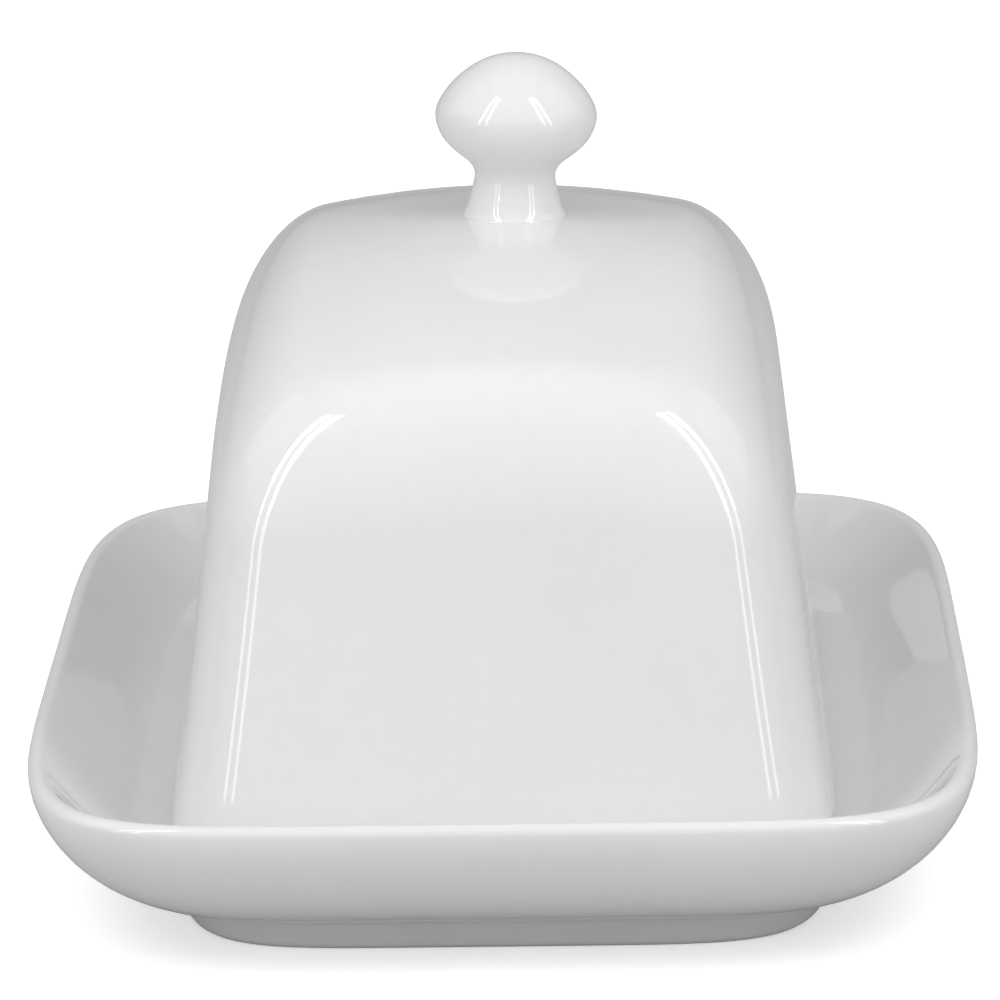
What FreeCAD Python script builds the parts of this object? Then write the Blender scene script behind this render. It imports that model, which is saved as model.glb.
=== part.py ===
import FreeCAD, Part
import math
import os

# Covered butter dish in glazed white ceramic: a shallow footed tray, and a domed
# cover with a round knob that stands on the tray's floor. Millimetres, +Z up. The
# origin is the middle of the foot, on the table. +Y is the long way of the dish.

# Driving dimensions: the dish.
DISH_WIDTH = 130.0        # outside, across the short way (X)
DISH_LENGTH = 182.0       # outside, along the long way (Y)
DISH_HEIGHT = 22.9        # table to the top of the rim
DISH_POWERS = (6.4, 5.5)  # squareness of the plan, see plan_points
RIM_RADIUS = 1.3          # roundness of the rim, half of the wall's thickness
RIM_SLOPE = 52.0          # degrees that the inside falls away at the rim
FLOOR_TOP = 13.6          # height of the flat floor that the cover stands on
FLOOR_INSET = 14.5        # flat floor inside the widest outline
WALL_RUN = 17.8           # from the widest outline in to the lowest part of the wall
WALL_BOTTOM = 4.9         # height of that lowest part, where the wall lies flat
WALL_POWER = 1.2          # flatness of the wall's outside: 1 is an ellipse, 2 a slope
FOOT_BLEND = 1.6          # hollow rounding from the wall into the side of the foot
FOOT_TAPER = 0.7          # how much further in the foot is at the table
FOOT_WIDTH = 4.5          # flat face of the foot ring, on the table
RECESS_TOP = 8.6          # underside of the floor inside the foot ring
RECESS_TAPER = 3.5        # how much further in the recess is at its top
FOOT_OUTSIDE = WALL_RUN + FOOT_BLEND + FOOT_TAPER  # inset of the foot at the table

# Driving dimensions: the cover.
COVER_WIDTH = 90.2        # outside, at the seat (X)
COVER_LENGTH = 152.0      # outside, at the seat (Y)
COVER_POWERS = (8.2, 10.0)
COVER_APEX = 86.0         # height of the crown's middle above the table
CROWN_RADIUS_X = 136.0    # gentle doming of the top, across
CROWN_RADIUS_Y = 196.0    # and along
SHOULDER_RUN = 13.6       # half-axes of the ellipse that rounds the top into the
SHOULDER_DROP = 19.0      # sides, across and upwards
TAPER = 6.1               # degrees that each side leans in
COVER_THICKNESS = 3.6

# Driving dimensions: the knob, a flattened ball on a short flared neck.
KNOB_RADIUS = 11.3
KNOB_HALF_HEIGHT = 8.4
KNOB_EQUATOR = 14.2       # height of the widest circle above the crown
KNOB_BALL_END = math.radians(53)  # how far below the widest circle the ball goes on
NECK_RADIUS = 5.7
NECK_BASE_RADIUS = 7.8    # where the neck flares into the crown
NECK_MIDDLE = 5.2         # height of the narrowest circle above the crown
FLARE_START = 2.0         # height above the crown where the flare turns outwards
NECK_SUNK = 1.0           # the flare is drawn this far into the crown, then cut to it
KNOB_OFFSET = 2.0         # handmade: the neck stands this far off the middle, towards +X
KNOB_LEAN = 1.9           # degrees that the knob leans towards +X

# How finely the outlines are drawn.
SIDE_STEPS = 7            # points on one half side of a plan outline
ARC_STEPS = 6             # rings on a quarter turn of a profile
WALL_SHARES = (0, 0.02, 0.06, 0.15, 0.35, 0.65, 0.85, 0.95)  # rings up a leaning wall
CROWN_SCALES = (0.9, 0.7, 0.45, 0.2)  # rings across the crown, from the shoulder inwards
POLE_SCALE = 0.08         # size of the small flat face at the middle of the crown
HALVINGS = 60             # of the interval that holds a plan outline's corner


def plan_points(half_x, half_y, powers):
    """Points round |x/half_x|^p + |y/half_y|^q = 1, closer together at the corners."""
    p, q = powers
    low, high = 0.5, 1.0
    for _ in range(HALVINGS):                # where the side and the end meet
        corner = (low + high) / 2
        if corner ** p + corner ** q < 1:
            low = corner
        else:
            high = corner
    steps = [corner * math.sin(math.pi / 2 * k / SIDE_STEPS) for k in range(1, SIDE_STEPS)]
    side = [((1 - s ** q) ** (1 / p), s) for s in steps]
    end = [(s, (1 - s ** p) ** (1 / q)) for s in reversed(steps)]
    quarter = side + [(corner, corner)] + end
    unit = [(1, 0)] + quarter + [(0, 1)] + [(-x, y) for x, y in reversed(quarter)]
    unit += [(-x, -y) for x, y in unit]
    return [(half_x * x, half_y * y) for x, y in unit]


def spline(points, parameters, closed):
    curve = Part.BSplineCurve()
    curve.interpolate(Points=points, Parameters=parameters, PeriodicFlag=closed)
    return curve


def running_lengths(points):
    """Distances along a line of points, used as spline parameters."""
    lengths = [0.0]
    for start, end in zip(points, points[1:]):
        lengths.append(lengths[-1] + start.distanceToPoint(end))
    return lengths


def skin(rings, around):
    """A smooth face through closed rings of points, all with the same parameters."""
    ring_curves = [spline(points, around, True) for points in rings]
    upward = running_lengths([points[0] for points in rings])
    columns = [spline(list(poles), upward, False)
               for poles in zip(*[curve.getPoles() for curve in ring_curves])]
    surface = Part.BSplineSurface()
    surface.buildFromPolesMultsKnots([column.getPoles() for column in columns],
                                     ring_curves[0].getMultiplicities(), columns[0].getMultiplicities(),
                                     ring_curves[0].getKnots(), columns[0].getKnots(),
                                     True, False, ring_curves[0].Degree, columns[0].Degree)
    return surface.toShape()


def solid_of_spans(spans, powers):
    """
    A closed solid whose surface runs through outlines given as (half_x, half_y, height).
    A height is a number, or a function of x and y. Each span is one smooth stretch, and
    begins on the last outline of the one before it. A span that stays at one height is a
    flat ring. The two open ends are closed flat.
    """
    def points_of(outline):
        half_x, half_y, height = outline
        return [FreeCAD.Vector(x, y, height(x, y) if callable(height) else height)
                for x, y in plan_points(half_x, half_y, powers)]

    def wire_of(outline):
        return Part.Wire([spline(points_of(outline), around, True).toShape()])

    widest = points_of(max((outline for span in spans for outline in span),
                           key=lambda outline: outline[0]))
    around = running_lengths(widest + widest[:1])
    faces = [Part.Face(wire_of(end)) for end in (spans[0][0], spans[-1][-1])]
    for span in spans:
        if len({height for _, _, height in span}) == 1:
            faces.append(Part.makeFace([wire_of(span[0]), wire_of(span[-1])], "Part::FaceMakerCheese"))
        else:
            faces.append(skin([points_of(outline) for outline in span], around))
    shell = Part.Shell(faces)
    shell.sewShape()
    solid = Part.Solid(shell)
    return solid if solid.Volume > 0 else solid.reversed()


def turn(start, end, steps=ARC_STEPS):
    """Angles from start to end in degrees, as radians."""
    return [math.radians(start + (end - start) * k / steps) for k in range(steps + 1)]


def dish():
    half_x, half_y = DISH_WIDTH / 2, DISH_LENGTH / 2

    def outline(inset, height):
        return (half_x - inset, half_y - inset, height)

    rim_height = DISH_HEIGHT - RIM_RADIUS
    rim = [(RIM_RADIUS + RIM_RADIUS * math.cos(angle), rim_height + RIM_RADIUS * math.sin(angle))
           for angle in turn(90 - RIM_SLOPE, 180, 2 * ARC_STEPS)]
    edge, edge_height = rim[0]
    run, fall = FLOOR_INSET - edge, edge_height - FLOOR_TOP
    hollow = math.tan(math.radians(RIM_SLOPE)) * run / fall
    wall = [outline(edge + run * math.sin(angle), FLOOR_TOP + fall * (1 - math.sin(angle)) ** hollow)
            for angle in turn(90, 0)]
    wall += [outline(*point) for point in rim[1:]]
    wall += [outline(WALL_RUN - WALL_RUN * math.sin(angle) ** WALL_POWER,
                     rim_height - (rim_height - WALL_BOTTOM) * math.cos(angle) ** WALL_POWER)
             for angle in turn(90, 0, 2 * ARC_STEPS)[1:]]
    wall += [outline(WALL_RUN + FOOT_BLEND * math.sin(angle),
                     WALL_BOTTOM - FOOT_BLEND * (1 - math.cos(angle)))
             for angle in turn(0, 90)[1:]]
    foot_side = [wall[-1], outline(FOOT_OUTSIDE, 0)]
    foot_face = [foot_side[-1], outline(FOOT_OUTSIDE + FOOT_WIDTH, 0)]
    recess = [foot_face[-1], outline(FOOT_OUTSIDE + FOOT_WIDTH + RECESS_TAPER, RECESS_TOP)]
    return solid_of_spans([wall, foot_side, foot_face, recess], DISH_POWERS)


def bell_outlines(half_x, half_y, apex, shoulder, foot):
    """
    Outlines of a dome from the height foot up to its crown. Its shoulder is the stretch of
    an ellipse, with half-axes (run, drop), from where it leans as the wall does to its top.
    """
    def crown(x, y):
        return apex - x * x / (2 * CROWN_RADIUS_X) - y * y / (2 * CROWN_RADIUS_Y)

    full_run, full_drop = shoulder
    lean = math.tan(math.radians(TAPER))
    start = math.atan(lean * full_drop / full_run)
    wall_drop = full_drop * (1 - math.sin(start))
    crown_run = full_run * math.cos(start)
    rise = apex - foot - wall_drop
    top_x, top_y = half_x - rise * lean, half_y - rise * lean
    outlines = []
    for share in WALL_SHARES:
        outlines.append((half_x + (top_x - half_x) * share, half_y + (top_y - half_y) * share,
                         lambda x, y, share=share: foot + (crown(x, y) - wall_drop - foot) * share))
    for angle in turn(math.degrees(start), 90):
        run, drop = crown_run - full_run * math.cos(angle), full_drop * (1 - math.sin(angle))
        outlines.append((top_x - run, top_y - run, lambda x, y, drop=drop: crown(x, y) - drop))
    for scale in CROWN_SCALES:
        outlines.append(((top_x - crown_run) * scale, (top_y - crown_run) * scale, crown))
    pole_x, pole_y = (top_x - crown_run) * POLE_SCALE, (top_y - crown_run) * POLE_SCALE
    outlines.append((pole_x, pole_y, crown(pole_x, pole_y)))
    return outlines


def cover_spans():
    """The outside from the seat up, the inside from the seat up, and the round seat."""
    half_x, half_y = COVER_WIDTH / 2, COVER_LENGTH / 2
    seat = COVER_THICKNESS / 2
    outside = bell_outlines(half_x, half_y, COVER_APEX, (SHOULDER_RUN, SHOULDER_DROP),
                            FLOOR_TOP + seat)
    inside = bell_outlines(half_x - COVER_THICKNESS, half_y - COVER_THICKNESS,
                           COVER_APEX - COVER_THICKNESS,
                           (SHOULDER_RUN - COVER_THICKNESS, SHOULDER_DROP - COVER_THICKNESS),
                           FLOOR_TOP + seat)
    round_seat = [(half_x - seat + seat * math.cos(angle), half_y - seat + seat * math.cos(angle),
                   FLOOR_TOP + seat - seat * math.sin(angle))
                  for angle in turn(180, 0, 2 * ARC_STEPS)]
    return outside, inside, round_seat


def cover():
    outside, inside, round_seat = cover_spans()
    return solid_of_spans([inside[::-1] + round_seat[1:-1] + outside], COVER_POWERS)


def bezier(*poles):
    """A curve in the XZ plane, from (radius, height) poles."""
    curve = Part.BezierCurve()
    curve.setPoles([FreeCAD.Vector(radius, 0, height) for radius, height in poles])
    return curve.toShape()


def knob():
    equator = COVER_APEX + KNOB_EQUATOR
    waist = COVER_APEX + NECK_MIDDLE
    sunk = COVER_APEX - NECK_SUNK
    top = equator + KNOB_HALF_HEIGHT
    ball_end_radius = KNOB_RADIUS * math.cos(KNOB_BALL_END)
    ball_end = equator - KNOB_HALF_HEIGHT * math.sin(KNOB_BALL_END)
    slope = KNOB_RADIUS * math.tan(KNOB_BALL_END) / KNOB_HALF_HEIGHT
    reach = (ball_end_radius - NECK_RADIUS) / slope

    ellipse = Part.Ellipse(FreeCAD.Vector(KNOB_RADIUS, 0, equator), FreeCAD.Vector(0, 0, top),
                           FreeCAD.Vector(0, 0, equator))
    ball = Part.ArcOfEllipse(ellipse, -KNOB_BALL_END, math.pi / 2).toBSpline().toShape()
    throat = bezier((ball_end_radius, ball_end), (NECK_RADIUS, ball_end - reach), (NECK_RADIUS, waist))
    flare = bezier((NECK_RADIUS, waist), (NECK_RADIUS, COVER_APEX + FLARE_START),
                   (NECK_BASE_RADIUS, sunk))
    floor = bezier((NECK_BASE_RADIUS, sunk), (0, sunk))
    axis = bezier((0, sunk), (0, top))
    profile = Part.Wire(Part.__sortEdges__([ball, throat, flare, floor, axis]))
    turned = Part.Face(profile).revolve(FreeCAD.Vector(0, 0, 0), FreeCAD.Vector(0, 0, 1), 360)
    turned.rotate(FreeCAD.Vector(0, 0, COVER_APEX), FreeCAD.Vector(0, 1, 0), KNOB_LEAN)
    turned.translate(FreeCAD.Vector(KNOB_OFFSET, 0, 0))
    outside = cover_spans()[0]
    return turned.cut(solid_of_spans([outside], COVER_POWERS))


def main():
    os.makedirs("parts", exist_ok=True)
    for name, shape in {"dish": dish(), "cover": cover(), "knob": knob()}.items():
        solid = shape.Solids[0]
        box = solid.optimalBoundingBox()
        print(name, len(shape.Solids), "solid, valid", solid.isValid(), "volume %.0f" % solid.Volume,
              "X %.2f..%.2f Y %.2f..%.2f Z %.2f..%.2f" % (box.XMin, box.XMax, box.YMin, box.YMax,
                                                         box.ZMin, box.ZMax))
        solid.exportStep("parts/%s.step" % name)


if __name__ == "__main__":
    main()
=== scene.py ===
import math

import bpy
from mathutils import Matrix, Vector, noise

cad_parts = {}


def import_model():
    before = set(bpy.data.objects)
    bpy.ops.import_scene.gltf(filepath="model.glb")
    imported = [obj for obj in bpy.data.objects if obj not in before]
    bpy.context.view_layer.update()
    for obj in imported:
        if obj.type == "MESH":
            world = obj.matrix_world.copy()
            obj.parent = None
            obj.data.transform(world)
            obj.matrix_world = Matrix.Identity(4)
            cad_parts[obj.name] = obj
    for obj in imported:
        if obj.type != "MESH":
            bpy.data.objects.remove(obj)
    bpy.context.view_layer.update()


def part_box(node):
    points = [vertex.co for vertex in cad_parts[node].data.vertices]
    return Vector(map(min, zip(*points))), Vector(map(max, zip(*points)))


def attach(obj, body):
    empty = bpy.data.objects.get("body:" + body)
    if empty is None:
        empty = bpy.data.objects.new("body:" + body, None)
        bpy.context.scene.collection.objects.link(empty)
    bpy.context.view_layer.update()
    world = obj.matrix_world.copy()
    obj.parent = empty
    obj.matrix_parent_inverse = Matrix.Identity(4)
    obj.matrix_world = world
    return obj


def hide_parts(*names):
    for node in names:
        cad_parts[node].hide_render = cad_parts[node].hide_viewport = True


# The looks of a covered butter dish in glazed white ceramic: a shallow footed tray, and
# a domed cover with a round knob. Lengths in the settings are in millimetres.

MM = 0.001
TAU = 2 * math.pi

# The dish. Its outside size comes from the CAD node.
DISH_POWERS = (6.4, 5.5)
RIM_RADIUS, RIM_SLOPE = 1.3, math.radians(52)
FLOOR_INSET = 14.5
WALL_RUN, WALL_BOTTOM, WALL_POWER = 17.8, 4.9, 1.2
FOOT_BLEND, FOOT_TAPER, FOOT_WIDTH = 1.6, 0.7, 4.5
RECESS_TOP, RECESS_TAPER = 8.6, 3.5
EDGE_EASE = 0.9                # how far from each edge of the foot ring its rounding begins
RECESS_FLAT = 8.0              # flat top of the recess that keeps the foot ring's outline
BARE_FOOT = 0.3                # the foot has no glaze below this height

# The cover. Its size at the seat comes from the CAD node.
COVER_POWERS = (8.2, 10.0)
COVER_APEX = 86.0
CROWN_RADIUS_X, CROWN_RADIUS_Y = 136.0, 196.0
SHOULDER_RUN, SHOULDER_DROP = 13.6, 19.0
TAPER = math.tan(math.radians(6.1))
COVER_THICKNESS = 3.6
BARE_SEAT = 0.55               # the seat has no glaze up to this far above the dish's floor

# The knob, as (radius, height above the crown's middle), from its top down.
KNOB_PROFILE = [(0.0, 22.56), (1.3, 22.49), (2.7, 22.25), (4.2, 21.78), (5.6, 21.1), (7.0, 20.15),
                (8.4, 18.95), (9.65, 17.55), (10.6, 16.1), (11.15, 14.9), (11.3, 13.9), (11.2, 12.9),
                (10.75, 11.6), (9.95, 10.3), (8.9, 9.2), (7.8, 8.3), (6.8, 7.5), (6.1, 6.7),
                (5.72, 5.9), (5.66, 5.1), (5.82, 4.2), (6.05, 3.3), (6.3, 2.4), (6.52, 1.6),
                (6.78, 0.9), (7.05, 0.4), (7.3, 0.05), (7.4, -0.3)]
KNOB_OFFSET = 2.0
KNOB_LEAN = math.radians(1.9)
KNOB_SUNK = 0.6                # depth below the crown at which the knob's mesh closes
FLARE_HEIGHT = 3.0             # below this the neck bends to follow the crown

# How finely the meshes are drawn. Shares are of the outline that a flat or domed face fills.
SIDE_STEPS, HALVINGS = 18, 60
FLOOR_SHARES = (0.04, 0.3, 0.6, 0.8, 0.92, 0.98)
RECESS_SHARES = (0.7, 0.35, 0.04)
CROWN_SHARES = (0.96, 0.9, 0.8, 0.68, 0.55, 0.42, 0.3, 0.2, 0.1, 0.03)
KNOB_AROUND = 96

# Fired clay is a little uneven: the height over which that fades in, and its two sizes of wave.
WAVER_RISE = 6.0
SLOW_WAVE, FINE_WAVE, FINE_LENGTH = 0.4, 0.12, 0.4

# Colours of the glaze and of the bare clay, as linear red, green, blue and alpha.
GLAZE_CLOUD, GLAZE_CLEAR = (0.775, 0.782, 0.779, 1), (0.805, 0.808, 0.802, 1)
GLAZE_MOTTLE, IRON_SPECK = (0.752, 0.760, 0.757, 1), (0.33, 0.29, 0.24, 1)
CLAY_DARK, CLAY_PALE, CLAY_STAIN = (0.62, 0.60, 0.56, 1), (0.72, 0.70, 0.66, 1), (0.58, 0.55, 0.50, 1)

# Soft boxes, as (azimuth and elevation in degrees, distance, width, height in metres, radiance).
# Azimuth is from the camera's side. The paired ones stand on the left and on the right.
PAIRED_LIGHTS = {"strip_low_0": (42, 9, 1.3, 0.08, 0.38, 4.0),
                 "strip_high_0": (42, 42, 1.3, 0.08, 1.15, 7.0),
                 "strip_low_1": (52, 9, 1.3, 0.08, 0.38, 4.0),
                 "strip_high_1": (52, 42, 1.3, 0.08, 1.15, 7.0),
                 "diffuser": (47, 36, 1.32, 0.32, 1.3, 0.6),
                 "side": (98, 42, 1.4, 0.9, 0.9, 0.55)}
OVERHEAD_LIGHT = (0, 80, 1.4, 1.2, 1.2, 0.30)
LIGHT_COLOUR = (1.0, 0.995, 0.985)
LIGHT_TARGET = 45              # the height that every soft box faces

# Brightness of the studio's walls, before the dish and behind it.
WALL_LIGHT_FRONT, WALL_LIGHT_BACK = 0.62, 0.36

# The floor: the glow that keeps it white, and how much light it sends back up at the dish.
FLOOR_GLOW, FLOOR_GREY = 0.45, 0.56
FLOOR_WHITE = 0.90
FLOOR_RADIUS, FLOOR_SIDES = 6, 64    # metres
FLOOR_GAP = 0.2                # how far the grey floor lies under the white one

# The camera, on a long lens a metre away.
LENS, SENSOR = 250.1, 36.0
EYE = (-0.7, -958.9, 282.5)
PITCH, ROLL, TURN = 0.2436, 0.0168, 0.018


def plan(half_x, half_y, powers):
    """Points round |x/half_x|^p + |y/half_y|^q = 1, closer together at the corners."""
    p, q = powers
    low, high = 0.5, 1.0
    for _ in range(HALVINGS):                # where the side and the end meet
        corner = (low + high) / 2
        if corner ** p + corner ** q < 1:
            low = corner
        else:
            high = corner
    shares = [corner * math.sin(math.pi / 2 * k / SIDE_STEPS) for k in range(1, SIDE_STEPS)]
    side = [((1 - s ** q) ** (1 / p), s) for s in shares]
    end = [(s, (1 - s ** p) ** (1 / q)) for s in reversed(shares)]
    quarter = side + [(corner, corner)] + end
    unit = [(1, 0)] + quarter + [(0, 1)] + [(-x, y) for x, y in reversed(quarter)]
    unit += [(-x, -y) for x, y in unit]
    return [(half_x * x, half_y * y) for x, y in unit]


def angles(start, end, steps):
    """Angles from start to end in degrees, as radians."""
    return [math.radians(start + (end - start) * k / steps) for k in range(steps + 1)]


def rounded(points, radius, steps=5):
    """The same line of (inset, height) points with its corners eased, up to radius from each."""
    line = [points[0]]
    for before, corner, after in zip(points, points[1:], points[2:]):
        a, b, c = Vector(before), Vector(corner), Vector(after)
        reach = min(radius, (a - b).length / 2, (c - b).length / 2)
        start, end = b + (a - b).normalized() * reach, b + (c - b).normalized() * reach
        for k in range(steps + 1):
            t = k / steps
            line.append(tuple(start * (1 - t) ** 2 + b * 2 * t * (1 - t) + end * t * t))
    return line + [points[-1]]


def smooth_line(points, per_span):
    """A smooth line through (radius, height) points."""
    line = []
    padded = [points[0]] + points + [points[-1]]
    for p0, p1, p2, p3 in zip(padded, padded[1:], padded[2:], padded[3:]):
        a, b, c, d = (Vector(p) for p in (p0, p1, p2, p3))
        for k in range(per_span):
            t = k / per_span
            line.append(tuple(0.5 * (2 * b + (c - a) * t + (2 * a - 5 * b + 4 * c - d) * t * t
                                     + (3 * b - a - 3 * c + d) * t ** 3)))
    return line + [points[-1]]


def skin(name, rings, first_point, last_point, bare_below=None):
    """
    A closed mesh through rings of points in millimetres, with a point at each end. Faces wholly
    below bare_below take the second material, which is the unglazed clay.
    """
    count = len(rings[0])
    verts = [first_point] + [point for ring in rings for point in ring] + [last_point]
    last = len(verts) - 1
    faces = [(0, 1 + (k + 1) % count, 1 + k) for k in range(count)]
    for r in range(len(rings) - 1):
        a, b = 1 + r * count, 1 + (r + 1) * count
        faces += [(a + k, a + (k + 1) % count, b + (k + 1) % count, b + k) for k in range(count)]
    a = 1 + (len(rings) - 1) * count
    faces += [(last, a + k, a + (k + 1) % count) for k in range(count)]
    mesh = bpy.data.meshes.new(name)
    mesh.from_pydata([Vector(v) * MM for v in verts], [], faces)
    mesh.validate()
    mesh.polygons.foreach_set("use_smooth", [True] * len(mesh.polygons))
    if bare_below is not None:
        for polygon in mesh.polygons:
            if all(mesh.vertices[v].co.z < bare_below * MM for v in polygon.vertices):
                polygon.material_index = 1
    piece = bpy.data.objects.new(name, mesh)
    bpy.context.scene.collection.objects.link(piece)
    return piece


def face_outwards(piece):
    """
    Meant to turn every face outwards. It sums one triangle of each quad, which isn't the volume:
    the dish and the cover come out right, but the knob stays inside out.
    """
    mesh = piece.data
    volume = sum(mesh.vertices[p.vertices[0]].co.dot(mesh.vertices[p.vertices[1]].co.cross(
        mesh.vertices[p.vertices[2]].co)) for p in mesh.polygons)
    if volume < 0:
        mesh.flip_normals()


def waver(piece, depth, length, seed, calm_below):
    """Draws the surface in by up to depth, in slow waves of that length, above calm_below."""
    mesh = piece.data
    moves = []
    for vertex in mesh.vertices:
        height = vertex.co.z / MM
        share = min(1.0, max(0.0, (height - calm_below) / WAVER_RISE))
        wave = noise.noise(vertex.co / (length * MM) + Vector((seed, 0, 0)))
        fine = noise.noise(vertex.co / (length * FINE_LENGTH * MM) + Vector((0, seed, 0)))
        inward = depth * MM * share * (0.5 + SLOW_WAVE * wave + FINE_WAVE * fine)
        moves.append(-inward * vertex.normal)
    for vertex, move in zip(mesh.vertices, moves):
        vertex.co += move
    mesh.update()


def make_dish():
    low, high = (Vector(corner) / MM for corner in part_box("dish"))
    half_x, half_y, height = (high.x - low.x) / 2, (high.y - low.y) / 2, high.z
    rim = height - RIM_RADIUS
    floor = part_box("cover")[0].z / MM
    lip = [(RIM_RADIUS + RIM_RADIUS * math.cos(t), rim + RIM_RADIUS * math.sin(t))
           for t in angles(90 - math.degrees(RIM_SLOPE), 180, 20)]
    edge, edge_height = lip[0]
    run, fall = FLOOR_INSET - edge, edge_height - floor
    hollow = math.tan(RIM_SLOPE) * run / fall
    line = [(edge + run * math.sin(t), floor + fall * (1 - math.sin(t)) ** hollow) for t in angles(90, 0, 22)]
    line += lip[1:]
    line += [(WALL_RUN - WALL_RUN * math.sin(t) ** WALL_POWER,
              rim - (rim - WALL_BOTTOM) * math.cos(t) ** WALL_POWER) for t in angles(90, 0, 28)[1:]]
    line += [(WALL_RUN + FOOT_BLEND * math.sin(t), WALL_BOTTOM - FOOT_BLEND * (1 - math.cos(t)))
             for t in angles(0, 90, 8)[1:]]
    foot = WALL_RUN + FOOT_BLEND + FOOT_TAPER
    line += rounded([line[-1], (foot, 0.0), (foot + FOOT_WIDTH, 0.0),
                     (foot + FOOT_WIDTH + RECESS_TAPER, RECESS_TOP),
                     (foot + FOOT_WIDTH + RECESS_TAPER + RECESS_FLAT, RECESS_TOP)], EDGE_EASE)[1:]
    floor_x, floor_y = half_x - FLOOR_INSET, half_y - FLOOR_INSET
    rings = [[(x, y, floor) for x, y in plan(floor_x * share, floor_y * share, DISH_POWERS)]
             for share in FLOOR_SHARES]
    rings += [[(x, y, z) for x, y in plan(half_x - inset, half_y - inset, DISH_POWERS)] for inset, z in line]
    inset = line[-1][0]
    rings += [[(x, y, RECESS_TOP)
               for x, y in plan((half_x - inset) * share, (half_y - inset) * share, DISH_POWERS)]
              for share in RECESS_SHARES]
    piece = skin("dish_glazed", rings, (0, 0, floor), (0, 0, RECESS_TOP), bare_below=BARE_FOOT)
    face_outwards(piece)
    waver(piece, depth=0.16, length=42.0, seed=3.1, calm_below=1.0)
    return piece


def bell(half_x, half_y, apex, run, drop, foot, wall_steps, turn_steps):
    """Rings of a dome from the height foot up to the middle of its crown."""
    def crown(x, y):
        return apex - x * x / (2 * CROWN_RADIUS_X) - y * y / (2 * CROWN_RADIUS_Y)

    start = math.atan(TAPER * drop / run)
    wall_drop, crown_run = drop * (1 - math.sin(start)), run * math.cos(start)
    rise = apex - foot - wall_drop
    top_x, top_y = half_x - rise * TAPER, half_y - rise * TAPER
    rings = []
    for k in range(wall_steps):
        share = 0.5 - 0.5 * math.cos(math.pi * k / wall_steps)
        outline = plan(half_x + (top_x - half_x) * share, half_y + (top_y - half_y) * share, COVER_POWERS)
        rings.append([(x, y, foot + (crown(x, y) - wall_drop - foot) * share) for x, y in outline])
    for t in angles(math.degrees(start), 90, turn_steps):
        inset = crown_run - run * math.cos(t)
        fall = drop * (1 - math.sin(t))
        outline = plan(top_x - inset, top_y - inset, COVER_POWERS)
        rings.append([(x, y, crown(x, y) - fall) for x, y in outline])
    for share in CROWN_SHARES:
        outline = plan((top_x - crown_run) * share, (top_y - crown_run) * share, COVER_POWERS)
        rings.append([(x, y, crown(x, y)) for x, y in outline])
    return rings


def make_cover():
    low, high = (Vector(corner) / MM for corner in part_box("cover"))
    half_x, half_y, floor = (high.x - low.x) / 2, (high.y - low.y) / 2, low.z
    seat = COVER_THICKNESS / 2
    inside = bell(half_x - COVER_THICKNESS, half_y - COVER_THICKNESS, COVER_APEX - COVER_THICKNESS,
                  SHOULDER_RUN - COVER_THICKNESS, SHOULDER_DROP - COVER_THICKNESS, floor + seat, 14, 12)
    outside = bell(half_x, half_y, COVER_APEX, SHOULDER_RUN, SHOULDER_DROP, floor + seat, 30, 26)
    round_seat = [[(x, y, floor + seat - seat * math.sin(t))
                   for x, y in plan(half_x - seat + seat * math.cos(t), half_y - seat + seat * math.cos(t),
                                    COVER_POWERS)] for t in angles(180, 0, 12)]
    rings = inside[::-1] + round_seat[1:-1] + outside
    piece = skin("cover_glazed", rings, (0, 0, COVER_APEX - COVER_THICKNESS), (0, 0, COVER_APEX),
                 bare_below=floor + BARE_SEAT)
    face_outwards(piece)
    waver(piece, depth=0.14, length=38.0, seed=7.7, calm_below=floor + 2.0)
    return piece


def make_knob():
    lean = Matrix.Translation((KNOB_OFFSET, 0, COVER_APEX)) @ Matrix.Rotation(KNOB_LEAN, 4, "Y")
    line = smooth_line(KNOB_PROFILE, 4)
    rings = []
    for radius, height in line[1:-1]:
        ring = []
        follow = min(1.0, max(0.0, (FLARE_HEIGHT - height) / FLARE_HEIGHT))
        for k in range(KNOB_AROUND):
            a = TAU * k / KNOB_AROUND
            x, y = radius * math.cos(a), radius * math.sin(a)
            point = lean @ Vector((x, y, height))
            fall = point.x ** 2 / (2 * CROWN_RADIUS_X) + point.y ** 2 / (2 * CROWN_RADIUS_Y)
            level = math.sin(KNOB_LEAN) * x
            ring.append((point.x, point.y, point.z + follow * (level - fall)))
        rings.append(ring)
    top, bottom = lean @ Vector((0, 0, line[0][1])), (KNOB_OFFSET, 0, COVER_APEX - KNOB_SUNK)
    piece = skin("knob_glazed", rings, tuple(top), bottom)
    face_outwards(piece)
    waver(piece, depth=0.07, length=16.0, seed=1.3, calm_below=COVER_APEX + 2.0)
    return piece


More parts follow.
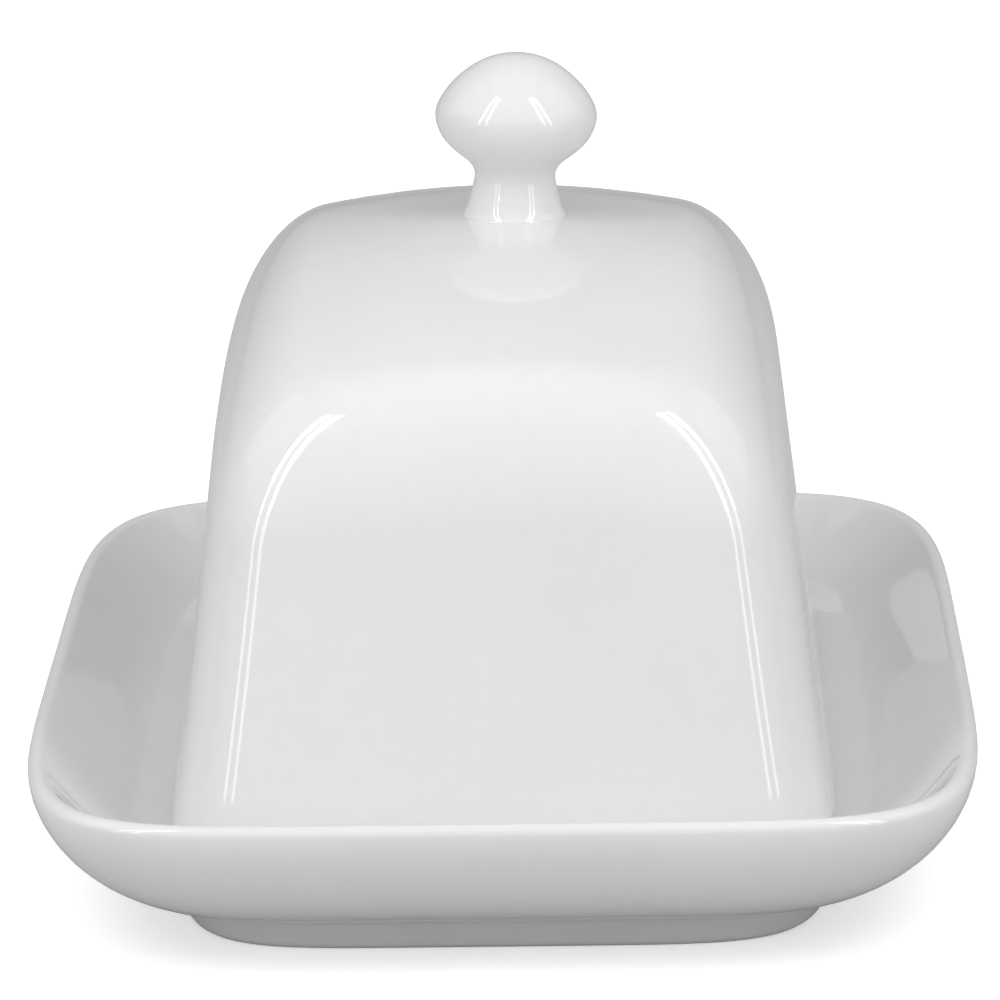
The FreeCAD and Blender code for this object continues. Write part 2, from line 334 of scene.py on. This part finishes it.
class Nodes:
    """Short words for building a material's nodes."""

    def __init__(self, name):
        self.material = bpy.data.materials.new(name)
        self.material.use_nodes = True
        self.tree = self.material.node_tree
        self.tree.nodes.clear()
        self.place = self.add("ShaderNodeTexCoord").outputs["Object"]

    def add(self, kind, settings=None, **inputs):
        node = self.tree.nodes.new(kind)
        for key, value in (settings or {}).items():
            setattr(node, key, value)
        for key, value in inputs.items():
            self.put(node.inputs[key.replace("_", " ")], value)
        return node

    def put(self, socket, value):
        if isinstance(value, bpy.types.NodeSocket):
            self.tree.links.new(value, socket)
        else:
            socket.default_value = value

    def math(self, operation, a, b=0.0):
        node = self.tree.nodes.new("ShaderNodeMath")
        node.operation = operation
        self.put(node.inputs[0], a)
        self.put(node.inputs[1], b)
        return node.outputs[0]

    def span(self, value, low, high, to_low=0.0, to_high=1.0):
        node = self.add("ShaderNodeMapRange", {"interpolation_type": "SMOOTHSTEP"})
        for socket, number in zip(node.inputs, (value, low, high, to_low, to_high)):
            self.put(socket, number)
        return node.outputs[0]

    def noise(self, size, detail=2.0, seed=0.0):
        """Soft noise whose lumps are about size millimetres across."""
        node = self.add("ShaderNodeTexNoise", {"noise_dimensions": "4D"}, Vector=self.place,
                        W=seed, Scale=1000.0 / size, Detail=detail)
        return node.outputs["Fac"]

    def spots(self, cell, radius, share, seed):
        """1 in small round spots: one in a few of the cells, which are cell millimetres across."""
        node = self.add("ShaderNodeTexVoronoi", {"voronoi_dimensions": "4D"}, Vector=self.place,
                        W=seed, Scale=1000.0 / cell, Randomness=1.0)
        near = self.span(node.outputs["Distance"], radius / cell, 0.4 * radius / cell)
        chance = self.add("ShaderNodeSeparateColor", Color=node.outputs["Color"]).outputs[0]
        return self.math("MULTIPLY", near, self.math("LESS_THAN", chance, share))

    def mix(self, factor, first, second):
        node = self.tree.nodes.new("ShaderNodeMix")
        node.data_type = "RGBA"
        self.put(node.inputs["Factor"], factor)
        self.put(node.inputs[6], first)
        self.put(node.inputs[7], second)
        return node.outputs[2]

    def bump(self, height, strength, depth, normal=None):
        node = self.add("ShaderNodeBump", Height=height, Strength=strength, Distance=depth * MM)
        if normal is not None:
            self.put(node.inputs["Normal"], normal)
        return node.outputs["Normal"]

    def finish(self, settings, **linked):
        shader = self.add("ShaderNodeBsdfPrincipled")
        for key, value in {**settings, **linked}.items():
            self.put(shader.inputs[key.replace("_", " ")], value)
        output = self.add("ShaderNodeOutputMaterial")
        self.tree.links.new(shader.outputs[0], output.inputs["Surface"])
        return self.material


def glaze(name, seed):
    """Clear gloss over white clay, with clouds, pinholes and a few iron specks."""
    n = Nodes(name)
    cloud = n.noise(34.0, 3.0, seed)
    tint = n.mix(n.span(cloud, 0.3, 0.7), GLAZE_CLOUD, GLAZE_CLEAR)
    mottle = n.noise(2.6, 4.0, seed + 1)
    tint = n.mix(n.math("MULTIPLY", n.span(mottle, 0.35, 0.75), 0.3), tint, GLAZE_MOTTLE)
    specks = n.spots(17.0, 0.30, 0.22, seed + 2)
    tint = n.mix(n.math("MULTIPLY", specks, 0.55), tint, IRON_SPECK)
    pinholes = n.spots(9.0, 0.16, 0.3, seed + 3)
    rough = n.math("ADD", 0.02, n.math("MULTIPLY", n.noise(22.0, 2.0, seed + 4), 0.03))
    rough = n.math("ADD", rough, n.math("MULTIPLY", pinholes, 0.3))
    peel = n.bump(n.noise(3.4, 2.0, seed + 5), 0.25, 0.02)
    swell = n.bump(n.noise(15.0, 1.0, seed + 6), 0.35, 0.10, peel)
    normal = n.bump(n.math("SUBTRACT", 1.0, pinholes), 0.6, 0.06, swell)
    return n.finish({"IOR": 1.5}, Base_Color=tint, Roughness=rough, Normal=normal)


def bare_clay():
    """Matt fired clay, where the glaze was wiped off so that the piece could stand in the kiln."""
    n = Nodes("bare_clay")
    grain = n.noise(0.5, 4.0)
    tint = n.mix(n.span(grain, 0.3, 0.7), CLAY_DARK, CLAY_PALE)
    tint = n.mix(n.math("MULTIPLY", n.noise(9.0, 3.0, 2.0), 0.4), tint, CLAY_STAIN)
    return n.finish({"IOR": 1.45}, Base_Color=tint, Roughness=n.span(grain, 0.2, 0.8, 0.62, 0.85),
                    Normal=n.bump(grain, 0.5, 0.08))


def floor_finish(name, grey, glow):
    """A matt floor of that grey, with slow clouds, that glows a little by itself."""
    n = Nodes(name)
    paler = grey + 0.015
    tint = n.mix(n.noise(300.0, 2.0), (grey, grey, grey, 1), (paler, paler, paler, 1))
    return n.finish({"Specular IOR Level": 0.1, "Emission Color": (1, 1, 1, 1), "Emission Strength": glow},
                    Base_Color=tint, Roughness=n.span(n.noise(40.0, 2.0), 0.3, 0.7, 0.8, 0.9))


def softbox(name, azimuth, elevation, distance, width, height, radiance):
    """A flat light that faces the dish. Azimuth is from the camera's side, to the right."""
    a, e = math.radians(azimuth), math.radians(elevation)
    target = Vector((0, 0, LIGHT_TARGET * MM))
    towards = Vector((math.sin(a) * math.cos(e), -math.cos(a) * math.cos(e), math.sin(e)))
    place = target + towards * distance
    light = bpy.data.lights.new(name, "AREA")
    light.shape = "RECTANGLE"
    light.size, light.size_y = width, height
    light.energy = radiance * math.pi * width * height
    light.color = LIGHT_COLOUR
    piece = bpy.data.objects.new(name, light)
    bpy.context.scene.collection.objects.link(piece)
    facing = (target - place).to_track_quat("-Z", "Y").to_matrix().to_4x4()
    piece.matrix_world = Matrix.Translation(place) @ facing


def studio_walls():
    """Grey walls, a little brighter on the camera's side."""
    world = bpy.data.worlds.new("studio")
    world.use_nodes = True
    tree = world.node_tree
    background = tree.nodes["Background"]
    direction = tree.nodes.new("ShaderNodeTexCoord").outputs["Generated"]
    split = tree.nodes.new("ShaderNodeSeparateXYZ")
    tree.links.new(direction, split.inputs[0])
    level = tree.nodes.new("ShaderNodeMapRange")
    for socket, number in zip(list(level.inputs)[1:], (-1.0, 1.0, WALL_LIGHT_FRONT, WALL_LIGHT_BACK)):
        socket.default_value = number
    tree.links.new(split.outputs["Y"], level.inputs[0])
    tree.links.new(level.outputs[0], background.inputs["Strength"])
    background.inputs["Color"].default_value = (1, 1, 1, 1)
    return world


def round_floor(name, height, finish):
    mesh = bpy.data.meshes.new(name)
    turns = [TAU * k / FLOOR_SIDES for k in range(FLOOR_SIDES)]
    ring = [(FLOOR_RADIUS * math.cos(a), FLOOR_RADIUS * math.sin(a), height) for a in turns]
    mesh.from_pydata(ring, [], [tuple(range(FLOOR_SIDES))])
    mesh.materials.append(finish)
    floor = bpy.data.objects.new(name, mesh)
    bpy.context.scene.collection.objects.link(floor)
    return floor


def make_stage():
    # The floor that shows is white. The one just under it is greyer, and is what shades the dish.
    shown = round_floor("floor", 0.0, floor_finish("pale_floor", FLOOR_WHITE, FLOOR_GLOW))
    shown.visible_diffuse = shown.visible_glossy = shown.visible_shadow = False
    under = round_floor("floor_under", -FLOOR_GAP * MM, floor_finish("grey_floor", FLOOR_GREY, 0.0))
    under.visible_camera = False

    for side, side_name in ((-1, "left"), (1, "right")):
        for name, (azimuth, *rest) in PAIRED_LIGHTS.items():
            softbox("%s_%s" % (side_name, name), side * azimuth, *rest)
    softbox("overhead", *OVERHEAD_LIGHT)
    bpy.context.scene.world = studio_walls()


def make_camera():
    turn = Matrix.Rotation(TURN, 3, "Z")
    right = turn @ Vector((1, 0, 0))
    down = turn @ Vector((0, -math.sin(PITCH), -math.cos(PITCH)))
    back = turn @ Vector((0, -math.cos(PITCH), math.sin(PITCH)))
    side = right * math.cos(ROLL) + down * math.sin(ROLL)
    up = right * math.sin(ROLL) - down * math.cos(ROLL)
    data = bpy.data.cameras.new("camera")
    data.sensor_width = SENSOR
    data.lens = LENS
    data.clip_end = 50.0
    camera = bpy.data.objects.new("camera", data)
    bpy.context.scene.collection.objects.link(camera)
    place = turn @ Vector(EYE) * MM
    axes = Matrix((side, up, back)).transposed()
    camera.matrix_world = Matrix.Translation(place) @ axes.to_4x4()
    bpy.context.scene.camera = camera


def main():
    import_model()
    clay = bare_clay()
    for make, node, body, slot, seed in ((make_dish, "dish", "dish", "dish_glaze", 11.0),
                                         (make_cover, "cover", "cover", "cover_glaze", 23.0),
                                         (make_knob, "knob", "cover", "knob_glaze", 37.0)):
        piece = make()
        piece.data.materials.append(glaze("white_" + slot, seed))
        piece.data.materials.append(clay)
        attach(piece, body)
        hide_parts(node)
    make_stage()
    make_camera()
    bpy.context.scene.view_settings.view_transform = "Standard"


main()
